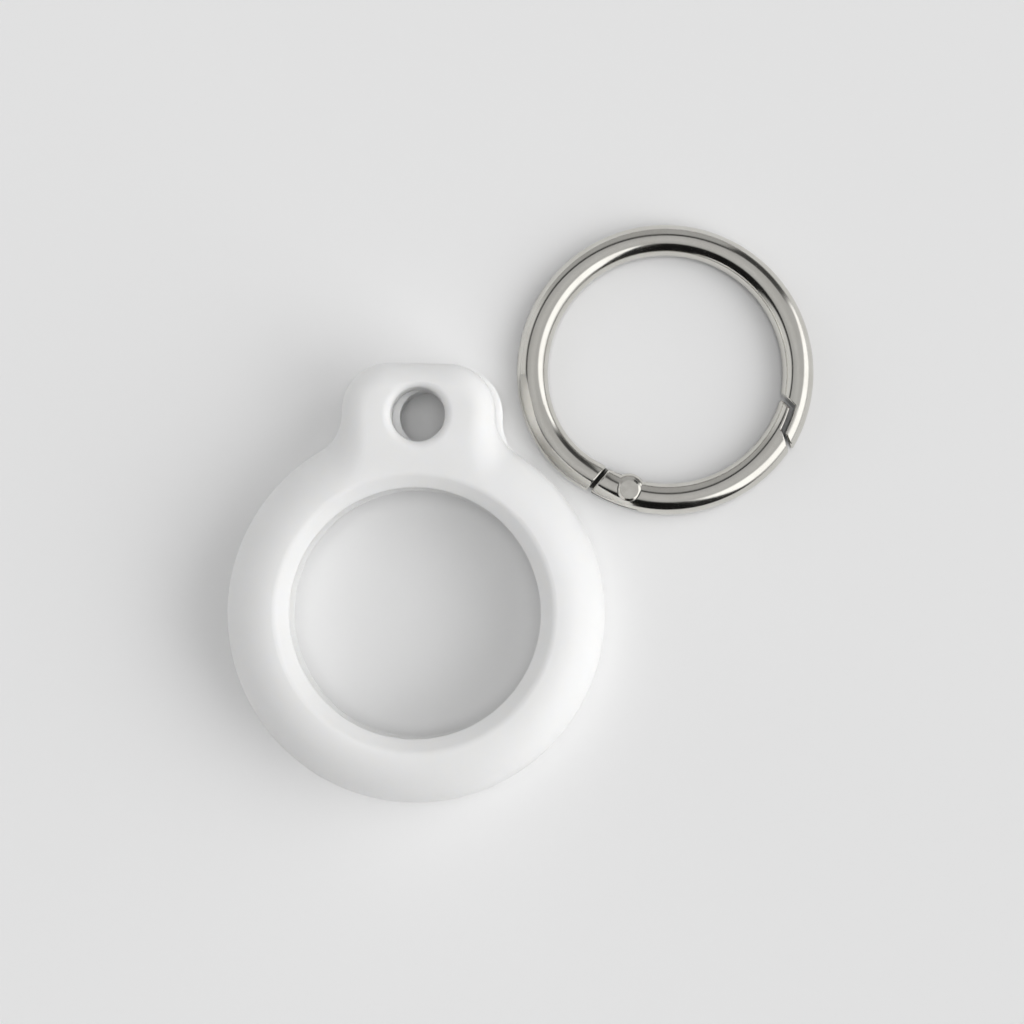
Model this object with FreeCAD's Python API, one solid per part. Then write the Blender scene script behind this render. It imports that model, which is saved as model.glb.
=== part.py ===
import FreeCAD, Part
import math
import os

# Tracker tag holder: two twist-lock shells that clamp a coin-shaped tag by its rim, and a spring-gate
# key ring that lies beside them. Millimetres, +Z up, the floor at z = 0. The origin is on the holder's
# axis, and the front shell's lug points along +Y.

# Tag that the holder takes
tag_diameter = 31.9
tag_rim_thickness = 7.0
tag_side_clearance = 0.1
tag_face_clearance = 0.1

# Shells: the lips over the tag's rim, the slope down to the window, and the rolled outside
lip_overlap = 2.85
lip_thickness = 0.75
bevel_drop = 1.05
crest_land = 0.37
crest_round = 0.95
side_round = 4.95
outer_wall = 1.8
seam_gap = 0.1

# Twist lock: a collar on the back shell, with bayonet lugs that run in grooves of the front shell
collar_wall = 1.0
collar_height = 2.8
collar_clearance = 0.15
collar_head_clearance = 0.2
bayonet_count = 4
bayonet_first_bearing = 52.0
bayonet_span = 14.0
bayonet_depth = 0.8
bayonet_height = 1.0
bayonet_lift = 1.3
bayonet_clearance = 0.15
bayonet_end_clearance = 0.6
unlock_turn = 26.0
rest_turn = 2.2

# Lug with the key ring's hole, half on each shell
lug_hole_diameter = 5.66
lug_hole_offset = 0.9
lug_tip_wall = 2.57
lug_side_wall = 5.17
lug_corner = 4.9
lug_root = 4.5
lug_round = 2.6
lug_hole_round = 0.9

# Key ring
ring_inner_diameter = 25.0
wire_diameter = 3.3
ring_bearing = 45.0
ring_spacing = 1.2
bend_bearing = 196.0
bend_radius = 11.9

# Key ring's hinge
rivet_bearing = 253.5
rivet_inset = 1.03
rivet_pin_diameter = 1.2
rivet_head_diameter = 2.48
rivet_crown_diameter = 2.0
rivet_head_height = 0.14
rivet_head_clearance = 0.04
rivet_seat_clearance = 0.02
rivet_running_clearance = 0.05
knuckle_radius = 1.78
knuckle_height = 2.9
knuckle_round = 1.0
hinge_gap_bearing = 238.7
hinge_gap_slant = 8.7
hinge_gap = 0.38
hinge_end_round = 0.2
tongue_thickness = 0.75
tongue_radius = 1.25
tongue_root_depth = 1.2
tongue_face_clearance = 0.05
tongue_end_clearance = 0.25

# Key ring's latch: the body's nose laps outside the gate's tip, and each has a hollow for the other's end
gate_tip_inset = 0.05
lap_lift = 0.08
latch_gap = 0.5
nose_bearing = 333.3
nose_slant = 0.62
notch_bearing = 345.7
notch_slant = 0.8
step_bearing = 334.1
step_slant = 0.74
tip_bearing = 344.5
tip_slant = 0.85
latch_round = 0.2

# Bent-wire spring in the hinge: it lies on the tongue, round the rivet's inner side
spring_wire = 0.36
spring_clearance = 0.07
spring_lean = 18.0
spring_front_leg = 4.2
spring_back_leg = 2.4

# Cuts run past the faces that they open, and cuts across the key ring's wire reach this far round it
overrun = 1.0
cut_turn = 20.0

# Holder sizes that follow from the above
cavity_radius = tag_diameter/2 + tag_side_clearance
collar_radius = cavity_radius + collar_wall
socket_radius = collar_radius + collar_clearance
bayonet_radius = collar_radius + bayonet_depth
groove_radius = bayonet_radius + bayonet_clearance
holder_radius = groove_radius + outer_wall
window_radius = tag_diameter/2 - lip_overlap
cavity_half = tag_rim_thickness/2 + tag_face_clearance
shell_half = cavity_half + lip_thickness + bevel_drop
seam_height = seam_gap/2
crest_radius = holder_radius - side_round
lug_hole_radius = lug_hole_diameter/2
lug_hole_reach = holder_radius + lug_hole_offset
lug_reach = lug_hole_reach + lug_hole_radius + lug_tip_wall
lug_half_width = lug_hole_radius + lug_side_wall

# Key ring sizes that follow from the above
wire_radius = wire_diameter/2
ring_radius = ring_inner_diameter/2 + wire_radius
ring_outer = ring_radius + wire_radius
ring_inner = ring_radius - wire_radius
ring_reach = holder_radius + ring_spacing + ring_outer
rivet_radius = rivet_pin_diameter/2
boss_half = wire_radius - rivet_head_height
lap_radius = ring_radius + lap_lift
slot_half = (tongue_thickness + tongue_face_clearance + spring_wire + 2*spring_clearance)/2
slot_depth = tongue_radius + tongue_end_clearance
tongue_low = tongue_face_clearance - slot_half
tongue_high = tongue_low + tongue_thickness
spring_level = tongue_high + spring_clearance + spring_wire/2

Vector = FreeCAD.Vector
up = Vector(0, 0, 1)
centre = Vector(0, 0, 0)


def polar(radius, bearing, z=0.0):
    angle = math.radians(bearing)
    return Vector(radius*math.cos(angle), radius*math.sin(angle), z)


def line(start, end):
    return Part.LineSegment(start, end).toShape()


def arc(middle, radius, start, end):
    points = [middle + polar(radius, bearing) for bearing in (start, (start + end)/2, end)]
    return Part.Arc(*points).toShape()


def extruded(edges, low, high):
    solid = Part.Face(Part.Wire(edges)).extrude(Vector(0, 0, high - low))
    solid.translate(Vector(0, 0, low))
    return solid


def turned(edges):
    return Part.Face(Part.Wire(edges)).revolve(centre, up, 360)


def polygon(points):
    return [line(a, b) for a, b in zip(points, points[1:] + points[:1])]


def cylinder(radius, low, high, middle=centre):
    return Part.makeCylinder(radius, high - low, Vector(middle.x, middle.y, low))


def sector(inner, outer, low, high, start, end):
    edges = [line(polar(inner, start), polar(outer, start)),
             arc(centre, outer, start, end),
             line(polar(outer, end), polar(inner, end)),
             arc(centre, inner, end, start)]
    return extruded(edges, low, high)


# Shells, drawn about the seam plane


def shell_outline():
    root_x = lug_half_width + lug_root
    root_y = math.sqrt((holder_radius + lug_root)**2 - root_x**2)
    corner = min(lug_corner, lug_reach - root_y - seam_gap)
    root_angle = math.degrees(math.atan2(root_y, root_x))
    corner_x = lug_half_width - corner
    corner_y = lug_reach - corner
    right_root = Vector(root_x, root_y, 0)
    left_root = Vector(-root_x, root_y, 0)
    return [arc(centre, holder_radius, 180 - root_angle, 360 + root_angle),
            arc(right_root, lug_root, 180 + root_angle, 180),
            line(Vector(lug_half_width, root_y, 0), Vector(lug_half_width, corner_y, 0)),
            arc(Vector(corner_x, corner_y, 0), corner, 0, 90),
            line(Vector(corner_x, lug_reach, 0), Vector(-corner_x, lug_reach, 0)),
            arc(Vector(-corner_x, corner_y, 0), corner, 90, 180),
            line(Vector(-lug_half_width, corner_y, 0), Vector(-lug_half_width, root_y, 0)),
            arc(left_root, lug_root, 0, -root_angle)]


def rolled(prism, top):
    # The outer edge's round is large on the ring and small on the lug, and changes along the lug's roots
    def round_at(vertex):
        on_ring = math.hypot(vertex.X, vertex.Y) < holder_radius + seam_gap
        return side_round if on_ring else lug_round

    rounds = []
    for number, edge in enumerate(prism.Edges, start=1):
        if min(vertex.Z for vertex in edge.Vertexes) > top - seam_gap:
            rounds.append((number, round_at(edge.Vertexes[0]), round_at(edge.Vertexes[-1])))
    document = FreeCAD.newDocument("shell")
    base = document.addObject("Part::Feature", "prism")
    base.Shape = prism
    fillet = document.addObject("Part::Fillet", "rolled")
    fillet.Base = base
    fillet.Edges = rounds
    document.recompute()
    return fillet.Shape


def window_cut():
    # Cylinder through the lip, cone up to the crest, and the crest's round
    cone_outer = crest_radius - crest_land
    slope = math.atan2(bevel_drop, cone_outer - window_radius)
    tangent = crest_round*math.tan(slope/2)
    cone_top = Vector(cone_outer - tangent*math.cos(slope), 0, shell_half - tangent*math.sin(slope))
    land = Vector(cone_outer + tangent, 0, shell_half)
    lean = slope/2
    middle = Vector(land.x - crest_round*math.sin(lean), 0, shell_half - crest_round*(1 - math.cos(lean)))
    lip = Vector(window_radius, 0, shell_half - bevel_drop)
    edges = [line(Vector(0, 0, -overrun), Vector(window_radius, 0, -overrun)),
             line(Vector(window_radius, 0, -overrun), lip),
             line(lip, cone_top),
             Part.Arc(cone_top, middle, land).toShape(),
             line(land, Vector(land.x, 0, shell_half + overrun)),
             line(Vector(land.x, 0, shell_half + overrun), Vector(0, 0, shell_half + overrun)),
             line(Vector(0, 0, shell_half + overrun), Vector(0, 0, -overrun))]
    return turned(edges)


def lug_hole_cut():
    # Straight hole with a rounded rim at the outer face
    rim_low = shell_half - lug_hole_round
    rim_radius = lug_hole_radius + lug_hole_round
    rim_middle = rim_radius - lug_hole_round*math.sqrt(0.5)
    rim_start = Vector(lug_hole_radius, 0, rim_low)
    rim_bend = Vector(rim_middle, 0, rim_low + lug_hole_round*math.sqrt(0.5))
    rim_end = Vector(rim_radius, 0, shell_half)
    edges = [line(Vector(0, 0, -overrun), Vector(lug_hole_radius, 0, -overrun)),
             line(Vector(lug_hole_radius, 0, -overrun), rim_start),
             Part.Arc(rim_start, rim_bend, rim_end).toShape(),
             line(rim_end, Vector(rim_radius, 0, shell_half + overrun)),
             line(Vector(rim_radius, 0, shell_half + overrun), Vector(0, 0, shell_half + overrun)),
             line(Vector(0, 0, shell_half + overrun), Vector(0, 0, -overrun))]
    hole = turned(edges)
    hole.translate(Vector(0, lug_hole_reach, 0))
    return hole


def half_shell():
    # What both halves share: the rolled outside above the seam, the window, the tag's space and the hole
    skirt = side_round
    form = rolled(extruded(shell_outline(), -skirt, shell_half), shell_half)
    below = cylinder(holder_radius + lug_reach, -skirt - overrun, seam_height)
    space = cylinder(cavity_radius, -overrun, cavity_half)
    return form.cut([below, space, window_cut(), lug_hole_cut()])


def bayonet_bearings():
    return [bayonet_first_bearing + 360.0*index/bayonet_count for index in range(bayonet_count)]


def front_shell():
    groove_low = bayonet_lift - bayonet_clearance
    groove_high = bayonet_lift + bayonet_height + bayonet_clearance
    half_span = bayonet_span/2 + bayonet_end_clearance
    inside = socket_radius - collar_clearance
    cuts = [cylinder(socket_radius, -overrun, collar_height + collar_head_clearance)]
    for bearing in bayonet_bearings():
        entry = bearing - rest_turn - unlock_turn
        start = entry - half_span
        cuts.append(sector(inside, groove_radius, groove_low, groove_high, start, bearing + half_span))
        cuts.append(sector(inside, groove_radius, -overrun, groove_high, start, entry + half_span))
    return half_shell().cut(cuts)


def back_shell():
    # The back half is the front's mirror image, with the collar and its bayonet lugs on the seam face
    half = half_shell().mirror(centre, up)
    collar = cylinder(collar_radius, -cavity_half, collar_height)
    inside = collar_radius - collar_wall/2
    lugs = []
    for bearing in bayonet_bearings():
        lugs.append(sector(inside, bayonet_radius, bayonet_lift, bayonet_lift + bayonet_height,
                           bearing - bayonet_span/2, bearing + bayonet_span/2))
    space = cylinder(cavity_radius, -cavity_half, collar_height + overrun)
    shell = half.fuse(collar.fuse(lugs).cut(space)).removeSplitter()
    shell.rotate(centre, up, -rest_turn)
    return shell


# Key ring, drawn about its own centre


def bearing_of(point, middle=centre):
    return math.degrees(math.atan2(point.y - middle.y, point.x - middle.x)) % 360


def on_bend(bearing):
    # Where the body's bend crosses a bearing about the ring's centre
    way = polar(1.0, bearing)
    near = bend_centre.dot(way)
    return way*(near + math.sqrt(bend_radius**2 - bend_centre.Length**2 + near**2))


def arc_centre(start, end, radius):
    # Centre of the arc that runs anticlockwise from start to end
    half = (end - start)*0.5
    inward = up.cross(half).normalize()
    return start + half + inward*math.sqrt(radius**2 - half.Length**2)


bend_centre = polar(ring_radius - bend_radius, bend_bearing)
gap_place = on_bend(hinge_gap_bearing)
gap_forward = polar(1.0, hinge_gap_bearing - hinge_gap_slant + 90)
gap_out = polar(1.0, hinge_gap_bearing - hinge_gap_slant)
gate_tip = polar(ring_radius - gate_tip_inset, (nose_bearing + notch_bearing)/2)
gate_centre = arc_centre(gap_place, gate_tip, ring_radius)
rivet_place = polar(ring_radius - rivet_inset, rivet_bearing)
along = polar(1.0, rivet_bearing + 90)
outward = polar(1.0, rivet_bearing)


def from_rivet(forward, out):
    return rivet_place + along*forward + outward*out


def wire_arc(start, end, middle=centre, radius=ring_radius):
    section = Part.Wire(Part.Circle(Vector(radius, 0, 0), Vector(0, 1, 0), wire_radius).toShape())
    solid = Part.Face(section).revolve(centre, up, end - start)
    solid.rotate(centre, up, start)
    solid.translate(middle)
    return solid


def gap_cut(side):
    # Block from one side of the hinge gap over the gap and past it
    start = gap_place + gap_forward*(side*hinge_gap/2)
    reach = 2*wire_diameter
    far = start - gap_forward*(side*reach)
    corners = [start - gap_out*reach, start + gap_out*reach, far + gap_out*reach, far - gap_out*reach]
    return extruded(polygon(corners), -wire_diameter, wire_diameter)


def rounded_latch(solid, start, end):
    # Rounds the edges whose middles lie between two bearings about the ring's centre
    edges = [edge for edge in solid.Edges if start < bearing_of(edge.CenterOfMass) < end]
    return solid.makeFillet(latch_round, edges)


def rounded_end(solid, side):
    # Rounds the edges that lie in one side of the hinge gap
    edges = []
    for edge in solid.Edges:
        from_gap = edge.CenterOfMass - gap_place
        in_side = abs(from_gap.dot(gap_forward) - side*hinge_gap/2) < hinge_gap/10
        if in_side and from_gap.Length < wire_diameter:
            edges.append(edge)
    return solid.makeFillet(hinge_end_round, edges)


def latch_cut(lap, low_bearing, low_slant, high_bearing, high_slant, far_bearing):
    # Prism on one side of a stepped line: in to the lap's radius, along the lap, and on inwards
    outer = ring_outer + overrun
    inner = ring_inner - overrun
    outer_bearing = low_bearing - math.degrees(low_slant*(outer - lap)/ring_radius)
    inner_bearing = high_bearing + math.degrees(high_slant*(lap - inner)/ring_radius)
    edges = [line(polar(outer, outer_bearing), polar(lap, low_bearing)),
             arc(centre, lap, low_bearing, high_bearing),
             line(polar(lap, high_bearing), polar(inner, inner_bearing)),
             arc(centre, inner, inner_bearing, far_bearing),
             line(polar(inner, far_bearing), polar(outer, far_bearing)),
             arc(centre, outer, far_bearing, outer_bearing)]
    return extruded(edges, -wire_diameter, wire_diameter)


def capsule(start, end, radius, low, high):
    side = (end - start).normalize().cross(up)*radius
    bar = extruded(polygon([start + side, end + side, end - side, start - side]), low, high)
    return bar.fuse([cylinder(radius, low, high, start), cylinder(radius, low, high, end)])


def tongue():
    # Plate from the body's end to the rivet, under the spring, with the hole for the rivet's pin
    root = on_bend(hinge_gap_bearing - math.degrees((hinge_gap/2 + tongue_root_depth)/ring_radius))
    plate = capsule(root, rivet_place, tongue_radius, tongue_low, tongue_high).removeSplitter()
    return plate.cut(cylinder(rivet_radius + rivet_running_clearance, -wire_diameter, wire_diameter, rivet_place))


def ring_body():
    start = nose_bearing - cut_turn
    bend_end = bearing_of(gap_place, bend_centre) + cut_turn
    arch = wire_arc(start, 360 + bend_bearing)
    bend = wire_arc(bend_bearing, bend_end, bend_centre, bend_radius).cut(gap_cut(-1))
    arch = arch.cut(latch_cut(lap_radius, nose_bearing, nose_slant, notch_bearing, notch_slant,
                              start - cut_turn))
    arch = rounded_latch(arch, start, notch_bearing + cut_turn)
    return arch.fuse([rounded_end(bend, -1), tongue()])


def spring_points():
    # The back leg's end, the bend's start, middle and end, and the front leg's end
    bend = rivet_radius + spring_clearance + spring_wire/2
    inward = rivet_bearing + 180
    level = rivet_place + up*spring_level
    bend_start, bend_middle, bend_end = [level + polar(bend, inward + turn)
                                         for turn in (spring_lean, 0, -spring_lean)]
    back = bend_start + polar(spring_back_leg, inward + spring_lean + 90)
    front = bend_end + polar(spring_front_leg, inward - spring_lean - 90)
    return back, bend_start, bend_middle, bend_end, front


def ring_gate():
    start = bearing_of(gap_place, gate_centre) - cut_turn
    end = tip_bearing + cut_turn
    arch = wire_arc(start, end, gate_centre)
    arch = arch.cut(latch_cut(lap_radius - latch_gap, step_bearing, step_slant, tip_bearing, tip_slant,
                              end + cut_turn))
    arch = rounded_latch(arch, step_bearing - cut_turn, end)
    arch = rounded_end(arch.cut(gap_cut(1)), 1)
    head_radius = rivet_head_diameter/2 + rivet_head_clearance
    boss = cylinder(head_radius, -boss_half, boss_half, rivet_place)
    knuckle = cylinder(knuckle_radius, -knuckle_height/2, knuckle_height/2, rivet_place)
    rims = [edge for edge in knuckle.Edges if abs(edge.CenterOfMass.z) > knuckle_height/4]
    knuckle = knuckle.makeFillet(knuckle_round, rims)
    slot_width = 2*ring_outer
    slot_corners = [from_rivet(forward, out)
                    for forward, out in ((slot_depth, -slot_width), (slot_depth, slot_width),
                                         (-slot_width, slot_width), (-slot_width, -slot_width))]
    leg_start, leg_end = spring_points()[-2:]
    leg = leg_end - leg_start
    leg_hole = spring_wire/2 + spring_clearance
    cuts = [extruded(polygon(slot_corners), -slot_half, slot_half),
            cylinder(rivet_radius + rivet_seat_clearance, -wire_diameter, wire_diameter, rivet_place),
            cylinder(head_radius, boss_half, wire_diameter, rivet_place),
            cylinder(head_radius, -wire_diameter, -boss_half, rivet_place),
            Part.makeCylinder(leg_hole, leg.Length + spring_clearance, leg_start, leg)]
    return arch.fuse([knuckle, boss]).removeSplitter().cut(cuts)


def hinge_rivet():
    head = rivet_head_diameter/2
    crown = rivet_crown_diameter/2
    pin = cylinder(rivet_radius, -boss_half, boss_half, rivet_place)
    top = Part.makeCone(head, crown, rivet_head_height, rivet_place + up*boss_half, up)
    bottom = Part.makeCone(head, crown, rivet_head_height, rivet_place - up*boss_half, -up)
    return pin.fuse([top, bottom]).removeSplitter()


def gate_spring():
    back, bend_start, bend_middle, bend_end, front = spring_points()
    path = Part.Wire([line(back, bend_start),
                      Part.Arc(bend_start, bend_middle, bend_end).toShape(),
                      line(bend_end, front)])
    section = Part.Wire(Part.Circle(back, bend_start - back, spring_wire/2).toShape())
    return Part.Solid(path.makePipeShell([section], True, False))


def placed(solid, place):
    solid.translate(place)
    return solid


holder_place = Vector(0, 0, shell_half)
ring_place = polar(ring_reach, ring_bearing, wire_radius)

nodes = {
    "front_shell": placed(front_shell(), holder_place),
    "back_shell": placed(back_shell(), holder_place),
    "ring_body": placed(ring_body(), ring_place),
    "ring_gate": placed(ring_gate(), ring_place),
    "hinge_rivet": placed(hinge_rivet(), ring_place),
    "gate_spring": placed(gate_spring(), ring_place),
}

os.makedirs("parts", exist_ok=True)
for name, shape in nodes.items():
    shape.exportStep(f"parts/{name}.step")
    print(name, len(shape.Solids), shape.isValid(), round(shape.Volume, 3))
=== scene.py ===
import bpy
import math
from mathutils import Matrix, Vector


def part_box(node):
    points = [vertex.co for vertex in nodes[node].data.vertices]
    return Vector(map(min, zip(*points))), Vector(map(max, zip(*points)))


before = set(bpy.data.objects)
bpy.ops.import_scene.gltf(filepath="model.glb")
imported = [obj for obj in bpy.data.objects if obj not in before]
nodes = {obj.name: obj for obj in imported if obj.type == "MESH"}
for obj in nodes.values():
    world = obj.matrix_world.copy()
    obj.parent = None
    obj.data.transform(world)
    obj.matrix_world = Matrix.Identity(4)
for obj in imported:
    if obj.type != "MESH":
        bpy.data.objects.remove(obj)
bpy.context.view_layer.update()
scene = bpy.context.scene
print("frame:", ", ".join(sorted(nodes)))


# node helpers

def newNode(tree, kind, place, **settings):
    made = tree.nodes.new(kind)
    made.location = place
    for key, value in settings.items():
        setattr(made, key, value)
    return made


def plug(tree, source, target):
    # a number is set on the socket itself, and anything else is the output of another node
    if isinstance(source, (int, float)):
        target.default_value = source
    else:
        tree.links.new(source, target)


def mathNode(tree, operation, place, *values):
    made = newNode(tree, "ShaderNodeMath", place, operation=operation)
    for value, socket in zip(values, made.inputs):
        plug(tree, value, socket)
    return made.outputs[0]


def rangeNode(tree, place, value, span, result=(0.0, 1.0)):
    made = newNode(tree, "ShaderNodeMapRange", place, interpolation_type="SMOOTHSTEP")
    for label, source in zip(("Value", "From Min", "From Max", "To Min", "To Max"), (value, *span, *result)):
        plug(tree, source, made.inputs[label])
    return made.outputs["Result"]


def noiseNode(tree, place, vector, scale, detail):
    made = newNode(tree, "ShaderNodeTexNoise", place)
    for label, source in (("Vector", vector), ("Scale", scale), ("Detail", detail)):
        plug(tree, source, made.inputs[label])
    return made.outputs[0]


def surfacePlace(tree, place):
    return newNode(tree, "ShaderNodeTexCoord", place).outputs["Object"]


def newGroup(name, inputs, outputs):
    tree = bpy.data.node_groups.new(name, "ShaderNodeTree")
    for direction, sockets in (("INPUT", inputs), ("OUTPUT", outputs)):
        for label, kind in sockets.items():
            tree.interface.new_socket(label, in_out=direction, socket_type="NodeSocket" + kind)
    given = newNode(tree, "NodeGroupInput", (-900, 0)).outputs
    return tree, given, newNode(tree, "NodeGroupOutput", (700, 0)).inputs


def useGroup(tree, group, place, **values):
    made = newNode(tree, "ShaderNodeGroup", place, node_tree=group)
    for label, value in values.items():
        made.inputs[label].default_value = value
    return made


def newMaterial(name, settings):
    material = bpy.data.materials.new(name)
    material.use_nodes = True
    shader = material.node_tree.nodes["Principled BSDF"]
    for label, value in settings.items():
        shader.inputs[label].default_value = value
    return material, shader.inputs


# floor

floorValues = {
    "size": 4.0, "level": -0.00002,  # just under the object, so that the two never share a face
    "colour": (0.93, 0.93, 0.93), "roughness": 0.9, "gloss": 0.1,
}


def makeFloor(values):
    bpy.ops.mesh.primitive_plane_add(size=values["size"], location=(0, 0, values["level"]))
    floor = bpy.context.object
    floor.name = "studioFloor"
    material = newMaterial("paleFloor", {
        "Base Color": (*values["colour"], 1),
        "Roughness": values["roughness"],
        "Specular IOR Level": values["gloss"],
    })[0]
    floor.data.materials.append(material)


# finishes that more than one piece uses, and the painted shade of narrow gaps

cloudValues = {
    "wideDetail": 3.0, "fineTimes": 7.0, "fineDetail": 4.0, "fineShare": 0.35,
    "roughSpan": (0.45, 0.9), "tintSpan": (0.3, 0.7),
}
lineValues = {"scale": 1.0, "detail": 2.0}
# painted shade in narrow gaps: how closed in a surface must be, and how dark its colour gets
gapShadeValues = {"samples": 8, "span": (0.35, 0.75), "shade": (0.02, 1.0)}


def makeClouds(values):
    # soft marks from moulding, plating and handling: a roughness and a colour that drift over the surface
    group, given, result = newGroup(
        "surfaceClouds",
        {"Scale": "Float", "Smooth": "Float", "Rough": "Float", "Light": "Color", "Dark": "Color"},
        {"Roughness": "Float", "Colour": "Color"})
    place = surfacePlace(group, (-900, 300))
    wide = noiseNode(group, (-650, 250), place, given["Scale"], values["wideDetail"])
    fineScale = mathNode(group, "MULTIPLY", (-650, -100), given["Scale"], values["fineTimes"])
    fine = noiseNode(group, (-450, -50), place, fineScale, values["fineDetail"])
    both = mathNode(group, "MULTIPLY_ADD", (-250, 100), fine, values["fineShare"], wide)
    rough = rangeNode(group, (0, 150), both, values["roughSpan"], (given["Smooth"], given["Rough"]))
    plug(group, rough, result["Roughness"])
    tint = newNode(group, "ShaderNodeMix", (250, -100), data_type="RGBA")
    plug(group, rangeNode(group, (0, -150), wide, values["tintSpan"]), tint.inputs["Factor"])
    plug(group, given["Light"], tint.inputs[6])  # the colour sockets of a Mix node are 6 and 7, and output 2
    plug(group, given["Dark"], tint.inputs[7])
    plug(group, tint.outputs[2], result["Colour"])
    return group


def makeLines(values):
    # fine polishing lines that run round an upright axis
    group, given, result = newGroup(
        "polishLines", {"Centre": "Vector", "Lines": "Float", "Turns": "Float"}, {"Height": "Float"})
    offset = newNode(group, "ShaderNodeVectorMath", (-700, 200), operation="SUBTRACT")
    plug(group, surfacePlace(group, (-900, 300)), offset.inputs[0])
    plug(group, given["Centre"], offset.inputs[1])
    split = newNode(group, "ShaderNodeSeparateXYZ", (-520, 200))
    plug(group, offset.outputs[0], split.inputs[0])
    across, along, up = split.outputs
    flat = newNode(group, "ShaderNodeCombineXYZ", (-350, 350))
    plug(group, across, flat.inputs["X"])
    plug(group, along, flat.inputs["Y"])
    reach = newNode(group, "ShaderNodeVectorMath", (-180, 350), operation="LENGTH")
    plug(group, flat.outputs[0], reach.inputs[0])
    turn = mathNode(group, "ARCTAN2", (-350, 50), along, across)
    drawn = newNode(group, "ShaderNodeCombineXYZ", (150, 200))
    rows = (("X", reach.outputs["Value"], "Lines"), ("Y", turn, "Turns"), ("Z", up, "Lines"))
    for step, (axis, measure, count) in enumerate(rows):
        stretched = mathNode(group, "MULTIPLY", (0, 350 - 200*step), measure, given[count])
        plug(group, stretched, drawn.inputs[axis])
    streaks = noiseNode(group, (330, 200), drawn.outputs[0], values["scale"], values["detail"])
    plug(group, streaks, result["Height"])
    return group


def makeGapShade(values):
    # painted shade: the metal's colour is darkened in narrow gaps, recesses and between parts, where shade falls, by
    # how closed in the surface is
    group, given, result = newGroup("paintedGapShade", {"Colour": "Color", "Reach": "Float"}, {"Colour": "Color"})
    openness = newNode(group, "ShaderNodeAmbientOcclusion", (-500, -100), samples=values["samples"])
    plug(group, given["Reach"], openness.inputs["Distance"])
    share = rangeNode(group, (-250, -100), openness.outputs["AO"], values["span"], values["shade"])
    shaded = newNode(group, "ShaderNodeVectorMath", (100, 50), operation="SCALE")
    plug(group, given["Colour"], shaded.inputs[0])
    plug(group, share, shaded.inputs["Scale"])
    plug(group, shaded.outputs[0], result["Colour"])
    return group


def addClouds(tree, sockets, values):
    drift = useGroup(tree, clouds, (-350, 200), Scale=values["cloudScale"], Smooth=values["smooth"],
                     Rough=values["rough"], Light=(*values["light"], 1), Dark=(*values["dark"], 1))
    plug(tree, drift.outputs["Roughness"], sockets["Roughness"])
    return drift.outputs["Colour"]


def addBump(tree, sockets, height, strength, distance):
    bump = newNode(tree, "ShaderNodeBump", (-200, -250))
    for label, source in (("Strength", strength), ("Distance", distance), ("Height", height)):
        plug(tree, source, bump.inputs[label])
    plug(tree, bump.outputs["Normal"], sockets["Normal"])


# shells

shellValues = {
    "light": (0.925, 0.925, 0.92), "dark": (0.91, 0.91, 0.905),
    "smooth": 0.42, "rough": 0.54, "cloudScale": 160.0,
    "scatter": 1.0, "scatterColours": (1.0, 0.98, 0.94), "scatterDepth": 0.0007,
    "grainScale": 7000.0, "grainDetail": 3.0, "grainStrength": 0.25, "grainDepth": 0.000012,
}


def makeShellPlastic(values):
    material, sockets = newMaterial("whiteMouldedPlastic", {
        "Subsurface Weight": values["scatter"],
        "Subsurface Radius": values["scatterColours"],
        "Subsurface Scale": values["scatterDepth"],
    })
    tree = material.node_tree
    plug(tree, addClouds(tree, sockets, values), sockets["Base Color"])
    place = surfacePlace(tree, (-900, -250))
    grain = noiseNode(tree, (-650, -250), place, values["grainScale"], values["grainDetail"])  # from the eroded mould
    addBump(tree, sockets, grain, values["grainStrength"], values["grainDepth"])
    return material


# key ring: its body and gate, its rivet and its spring

nickelValues = {
    "light": (0.70, 0.687, 0.645), "dark": (0.665, 0.648, 0.605),
    "smooth": 0.11, "rough": 0.16, "cloudScale": 400.0,
    "lines": 8000.0, "turns": 5.0, "lineStrength": 0.10, "lineDepth": 0.000004, "shadeReach": 0.0014,
}
rivetValues = {
    "light": (0.70, 0.688, 0.645), "dark": (0.66, 0.643, 0.60),
    "smooth": 0.12, "rough": 0.20, "cloudScale": 1500.0,
    "lines": 14000.0, "turns": 1.0, "lineStrength": 0.25, "lineDepth": 0.000006, "shadeReach": 0.00015,
}
springValues = {
    "light": (0.55, 0.55, 0.56), "dark": (0.46, 0.46, 0.47),
    "smooth": 0.22, "rough": 0.34, "cloudScale": 2500.0,
    "lines": 20000.0, "turns": 2.0, "lineStrength": 0.35, "lineDepth": 0.000006, "shadeReach": 0.0006,
}


def middle(name):
    low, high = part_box(name)
    return tuple((a + b)/2 for a, b in zip(low, high))


def makeMetal(name, values, centre):
    material, sockets = newMaterial(name, {"Metallic": 1.0})
    tree = material.node_tree
    # painted shade darkens the metal's colour in narrow gaps and between parts
    shaded = useGroup(tree, gapShade, (-150, 350), Reach=values["shadeReach"])
    plug(tree, addClouds(tree, sockets, values), shaded.inputs["Colour"])
    plug(tree, shaded.outputs["Colour"], sockets["Base Color"])
    drawn = useGroup(tree, lines, (-450, -250), Centre=centre, Lines=values["lines"], Turns=values["turns"])
    addBump(tree, sockets, drawn.outputs["Height"], values["lineStrength"], values["lineDepth"])
    return material


def dress(name, material):
    mesh = nodes[name].data
    mesh.materials.clear()
    mesh.materials.append(material)


# studio: a soft lamp overhead and a soft glow, mostly from the right, light the floor and the plastic, and the
# metal mirrors light and dark cards
# a row of the glow is an azimuth, and the brightness at the last three of glowZeniths
# a row of the cards is an azimuth, the zenith angles of the card's top and bottom, how soft its top is, its
# brightness, and that of the wall below it

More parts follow.
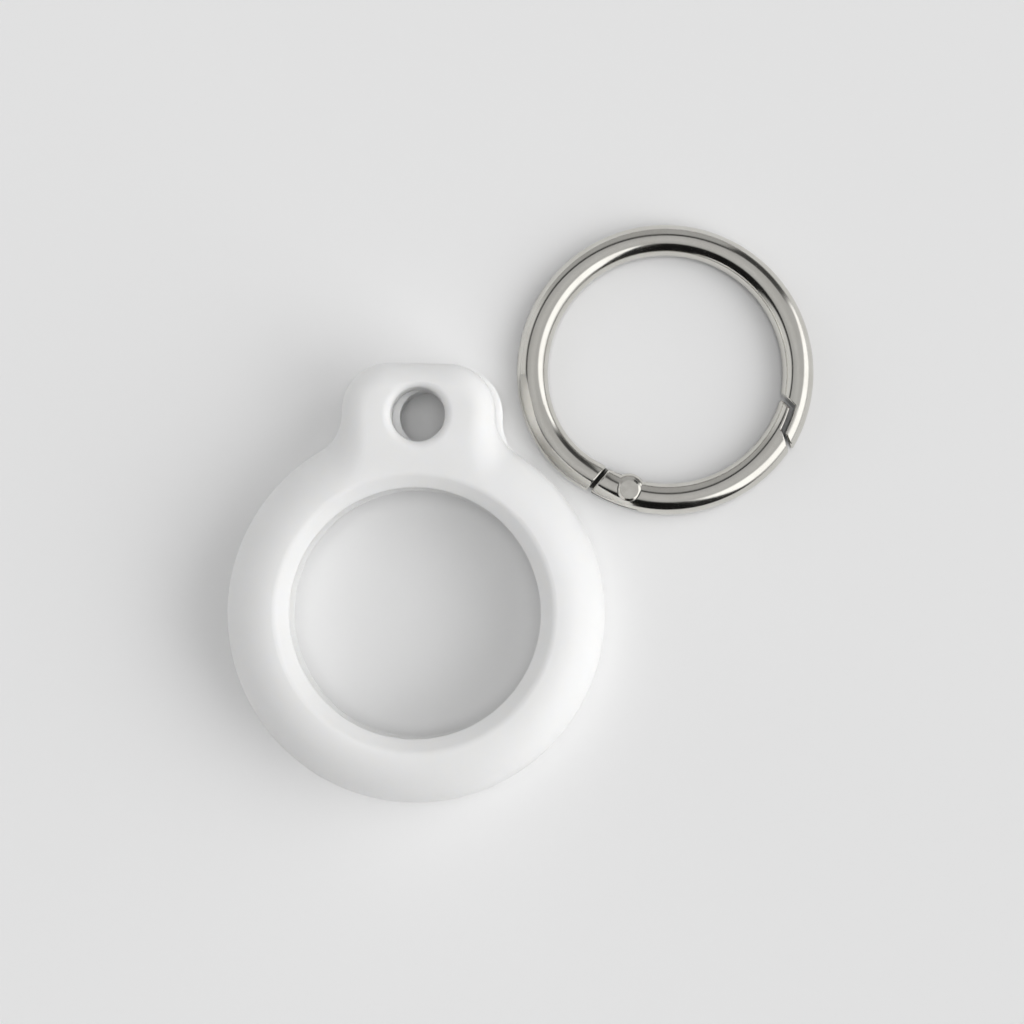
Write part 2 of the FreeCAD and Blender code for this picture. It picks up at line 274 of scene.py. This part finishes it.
studioValues = {
    "backdrop": 0.776, "brightest": 4.0,  # the brightest level that the ramps hold
    "lamp": 7.1, "lampPlace": (150, 1.5), "lampEdge": (12, 5),
    "glowOverhead": 0.04, "glowZeniths": (12, 30, 50, 72),
    "glow": [
        (0, 1.63, 2.40, 1.48), (5, 1.52, 2.06, 1.16), (41, 1.46, 2.06, 1.16),
        (49, 0.78, 0.14, 0.15), (86, 0.10, 0.14, 0.15), (94, 0.08, 0.13, 0.28), (131, 0.13, 0.13, 0.28),
        (139, 0.17, 0.92, 1.02), (176, 0.20, 0.92, 1.02), (184, 0.21, 0.58, 0.32), (221, 0.20, 0.58, 0.32),
        (229, 0.16, 0.08, 0.07), (266, 0.06, 0.08, 0.07), (274, 0.10, 0.28, 0.28), (311, 1.15, 0.28, 0.28),
        (319, 1.68, 2.72, 1.80), (355, 1.78, 2.72, 1.80), (360, 1.63, 2.40, 1.48),
    ],
    "overhead": 0.53, "softBottom": 6.0,
    "cards": [
        (0, 39, 80, 5, 1.45, 0.6), (10, 46, 84, 5, 1.45, 0.6), (20, 56, 86, 5, 1.45, 0.5),
        (30, 68, 88, 5, 1.45, 0.4), (36, 48, 84, 4, 0.05, 0.35), (60, 44, 82, 4, 0.05, 0.35),
        (64, 36, 50, 4, 0.03, 0.45), (75, 33, 45, 4, 0.02, 0.45), (90, 31, 43, 4, 0.02, 0.45),
        (105, 35, 47, 4, 0.02, 0.45), (120, 41, 53, 4, 0.02, 0.45), (135, 46, 58, 4, 0.02, 0.45),
        (141, 46, 58, 4, 0.02, 0.5), (149, 45, 57, 4, 0.02, 0.75), (165, 43, 55, 4, 0.02, 0.75),
        (180, 37, 49, 4, 0.02, 0.75), (195, 36, 50, 4, 0.02, 0.75), (205, 32, 50, 4, 0.02, 0.7),
        (216, 30, 58, 4, 0.01, 0.4), (223, 28, 88, 5, 0.008, 0.03), (286.2, 28, 88, 5, 0.008, 0.03),
        (286.4, 27, 27.5, 5, 0.008, 0.02), (288, 27, 31, 5, 1.45, 0.02), (306, 27, 72, 5, 1.45, 0.05),
        (315, 27, 74, 5, 1.45, 0.4), (330, 31, 76, 5, 1.45, 0.6), (345, 36, 78, 5, 1.45, 0.6),
        (360, 39, 80, 5, 1.45, 0.6),
    ],
}
rightAngle, fullTurn = 90, 360


def rampNode(tree, place, value, stops):
    # three values that change with one, as the red, green and blue of a colour ramp
    made = newNode(tree, "ShaderNodeValToRGB", place)
    elements = made.color_ramp.elements
    while len(elements) < len(stops):
        elements.new(0.5)
    for element, (position, levels) in zip(elements, stops):
        element.position = position
    for element, (position, levels) in zip(elements, stops):  # colours come last, because moved stops are sorted
        element.color = (*levels, 1)
    plug(tree, value, made.inputs["Fac"])
    split = newNode(tree, "ShaderNodeSeparateColor", (place[0] + 270, place[1]))
    plug(tree, made.outputs["Color"], split.inputs[0])
    return list(split.outputs)[:3]


def blendNode(tree, place, share, first, second):
    made = newNode(tree, "ShaderNodeMix", place)
    for source, index in ((share, 0), (first, 2), (second, 3)):
        plug(tree, source, made.inputs[index])
    return made.outputs[0]


def makeCards(tree, values, zenith, azimuth):
    edges = [(row[0]/fullTurn, [angle/rightAngle for angle in row[1:4]]) for row in values["cards"]]
    tones = [(row[0]/fullTurn, (row[4]/values["brightest"], row[5], 0)) for row in values["cards"]]
    top, bottom, soft = rampNode(tree, (-900, 200), azimuth, edges)
    card, wall = rampNode(tree, (-900, -200), azimuth, tones)[:2]
    card = mathNode(tree, "MULTIPLY", (-350, -200), card, values["brightest"])
    belowTop = mathNode(tree, "SUBTRACT", (-350, 300), zenith, top)
    topShare = rangeNode(tree, (-150, 300), mathNode(tree, "DIVIDE", (-250, 300), belowTop, soft), (-1.0, 1.0))
    belowBottom = mathNode(tree, "SUBTRACT", (-350, 100), zenith, bottom)
    softBottom = values["softBottom"]/rightAngle
    bottomShare = rangeNode(tree, (-150, 100), belowBottom, (-softBottom, softBottom))
    upper = blendNode(tree, (50, 200), topShare, values["overhead"], card)
    return blendNode(tree, (250, 100), bottomShare, upper, wall)


def makeGlow(tree, values, zenith, azimuth):
    levels = [(row[0]/fullTurn, [level/values["brightest"] for level in row[1:]]) for row in values["glow"]]
    glow = values["glowOverhead"]/values["brightest"]
    for step, band in enumerate(rampNode(tree, (-900, -600), azimuth, levels)):
        span = [angle/rightAngle for angle in values["glowZeniths"][step:step + 2]]
        share = rangeNode(tree, (-350 + 200*step, -450), zenith, span)
        glow = blendNode(tree, (-200 + 200*step, -600), share, glow, band)
    return mathNode(tree, "MULTIPLY", (400, -600), glow, values["brightest"])


def makeLamp(tree, values, way):
    turn, tilt = (math.radians(angle) for angle in values["lampPlace"])
    toLamp = newNode(tree, "ShaderNodeVectorMath", (-900, -900), operation="DOT_PRODUCT")
    plug(tree, way, toLamp.inputs[0])
    toLamp.inputs[1].default_value = (math.sin(tilt)*math.cos(turn), math.sin(tilt)*math.sin(turn), math.cos(tilt))
    edge = [math.cos(math.radians(angle)) for angle in values["lampEdge"]]
    return rangeNode(tree, (-600, -900), toLamp.outputs["Value"], edge, (0.0, values["lamp"]))


def makeStudio(values):
    world = bpy.data.worlds.new("studioRoom")
    scene.world = world
    world.use_nodes = True
    tree = world.node_tree
    way = newNode(tree, "ShaderNodeTexCoord", (-1900, 0)).outputs["Generated"]
    split = newNode(tree, "ShaderNodeSeparateXYZ", (-1700, 0))
    plug(tree, way, split.inputs[0])
    across, along, up = split.outputs
    fromTop = mathNode(tree, "ARCCOSINE", (-1500, 200), up)
    zenith = mathNode(tree, "MULTIPLY", (-1300, 200), fromTop, 2/math.pi)  # 1 at the horizon
    turn = mathNode(tree, "ARCTAN2", (-1500, -100), along, across)
    turnShare = mathNode(tree, "MULTIPLY", (-1300, -100), turn, 1/(2*math.pi))
    azimuth = mathNode(tree, "FLOORED_MODULO", (-1100, -100), turnShare, 1.0)  # from 0 to 1 round the object
    mirrored = makeCards(tree, values, zenith, azimuth)
    glow = makeGlow(tree, values, zenith, azimuth)
    light = mathNode(tree, "ADD", (500, -750), glow, makeLamp(tree, values, way))
    path = newNode(tree, "ShaderNodeLightPath", (250, 300)).outputs
    room = tree.nodes["Background"]
    room.inputs["Color"].default_value = (1, 1, 1, 1)
    strength = blendNode(tree, (450, 100), path["Is Glossy Ray"], light, mirrored)
    plug(tree, strength, room.inputs["Strength"])
    backdrop = newNode(tree, "ShaderNodeBackground", (450, -150))  # what the camera itself sees past the floor
    backdrop.inputs["Color"].default_value = (values["backdrop"],)*3 + (1,)
    either = newNode(tree, "ShaderNodeMixShader", (700, 50))
    for source, socket in zip((path["Is Camera Ray"], room.outputs[0], backdrop.outputs[0]), either.inputs):
        plug(tree, source, socket)
    plug(tree, either.outputs[0], tree.nodes["World Output"].inputs["Surface"])


# camera

cameraValues = {
    "place": (0.01124, -0.00144, 0.34678), "aim": (0.010056, 0.010859, 0.0),
    "turn": 0.8,  # the lug leans a little in the picture
    "lens": 114.07, "sensor": 36.0, "nearest": 0.01, "farthest": 20.0,
}


def makeCamera(values):
    data = bpy.data.cameras.new("topCamera")
    data.lens, data.sensor_width = values["lens"], values["sensor"]
    data.clip_start, data.clip_end = values["nearest"], values["farthest"]
    camera = bpy.data.objects.new("topCamera", data)
    scene.collection.objects.link(camera)
    place = Vector(values["place"])
    back = (place - Vector(values["aim"])).normalized()
    right = Vector((0, 1, 0)).cross(back).normalized()
    axes = Matrix((right, back.cross(right), back)).transposed().to_4x4()
    rig = Matrix.Rotation(math.radians(values["turn"]), 4, "Z")
    camera.matrix_world = rig @ Matrix.Translation(place) @ axes
    scene.camera = camera


makeFloor(floorValues)
print("floor: done")

clouds, lines, gapShade = makeClouds(cloudValues), makeLines(lineValues), makeGapShade(gapShadeValues)
plastic = makeShellPlastic(shellValues)
ringCentre, rivetCentre = middle("ring_body"), middle("hinge_rivet")
nickel = makeMetal("nickelPlate", nickelValues, ringCentre)
for name in ("front_shell", "back_shell"):
    dress(name, plastic)
for name in ("ring_body", "ring_gate"):
    dress(name, nickel)
dress("hinge_rivet", makeMetal("rivetSteel", rivetValues, rivetCentre))
dress("gate_spring", makeMetal("springWire", springValues, rivetCentre))
print("finishes: done")

makeStudio(studioValues)
makeCamera(cameraValues)
scene.view_settings.view_transform = "Standard"
print("studio: done")
